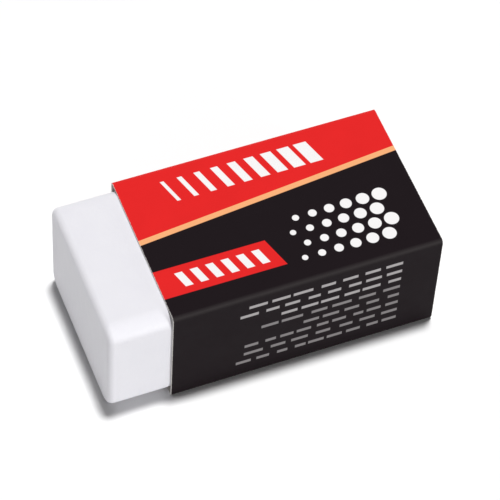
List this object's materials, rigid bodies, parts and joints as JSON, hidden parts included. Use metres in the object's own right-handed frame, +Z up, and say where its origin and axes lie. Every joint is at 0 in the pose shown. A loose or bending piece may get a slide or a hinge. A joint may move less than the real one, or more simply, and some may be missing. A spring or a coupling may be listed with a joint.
{
  "type": "rubber eraser",
  "caption": "Rectangular vinyl block eraser with rounded edges, held in a folded card sleeve that slides along it and leaves one end of the block bare for rubbing out pencil.",
  "frame": {"origin": "on the ground plane, under the middle of the whole eraser", "axes": "+X along the block away from its bare end, +Y to the back with the glued lap, +Z up"},
  "size_m": [0.0368, 0.0192, 0.0141],
  "materials": {
    "vinyl": "satin",
    "printed_card": "satin"
  },
  "bodies": {
    "block": {"eraser_block": "vinyl"},
    "sleeve": {"card_sleeve": "printed_card"}
  },
  "joints": [
    {"name": "sleeve_slide", "type": "slide", "parent": "block", "child": "sleeve", "axis": [1, 0, 0], "range_m": [-0.0069, 0.0315]}
  ]
}
